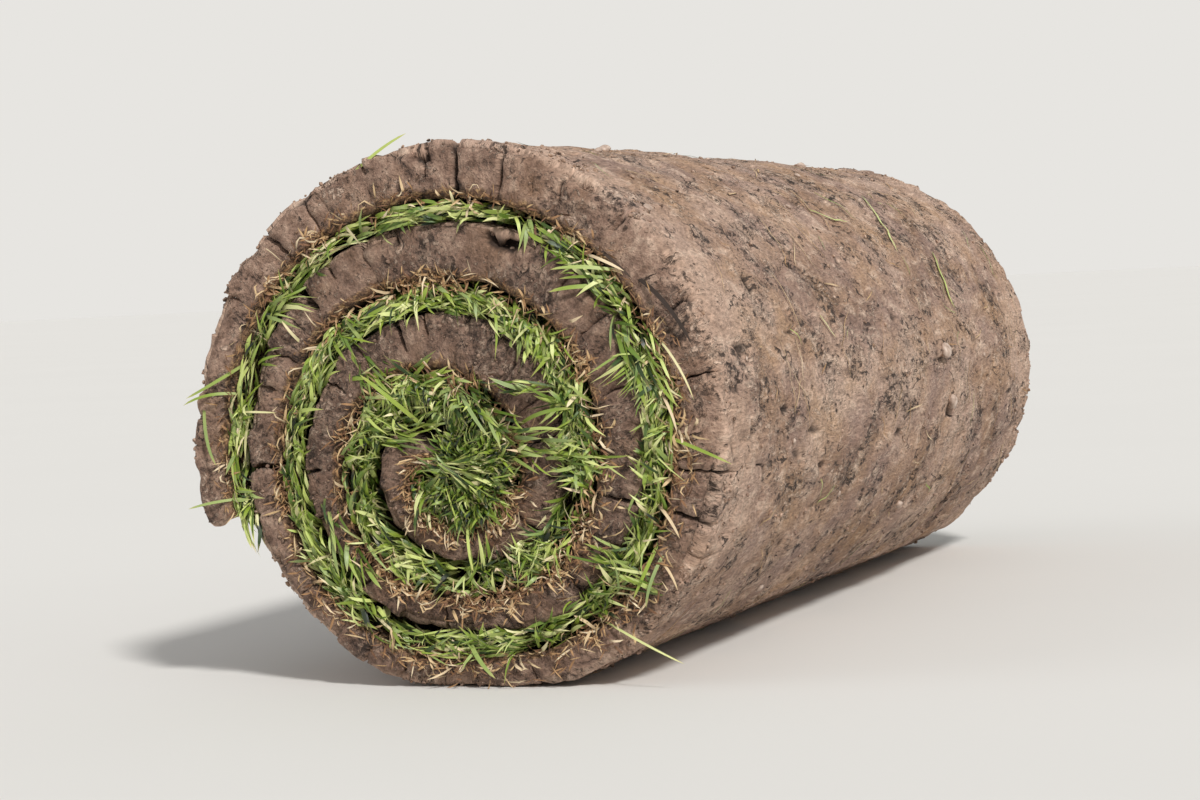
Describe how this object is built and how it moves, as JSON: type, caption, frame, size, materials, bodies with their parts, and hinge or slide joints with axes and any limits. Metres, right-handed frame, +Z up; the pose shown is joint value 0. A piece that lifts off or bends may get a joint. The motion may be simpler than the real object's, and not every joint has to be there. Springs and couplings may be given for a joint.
{
  "type": "roll of turf",
  "caption": "Roll of garden turf lying on its side, wound grass side in, with its spiral turns showing on the cut ends.",
  "frame": {"origin": "On the floor, under the middle of the roll.", "axes": "+Y along the roll's axis, away from the end that the picture shows; +Z up; +X to the right as that end is seen."},
  "size_m": [0.2494, 0.626, 0.2355],
  "materials": {
    "soil": "matt, crumbly damp earth",
    "grass": "fresh blades with a soft sheen",
    "straw": "dry stems and roots, matt"
  },
  "bodies": {
    "root": {"turf_roll": "soil"}
  },
  "joints": []
}
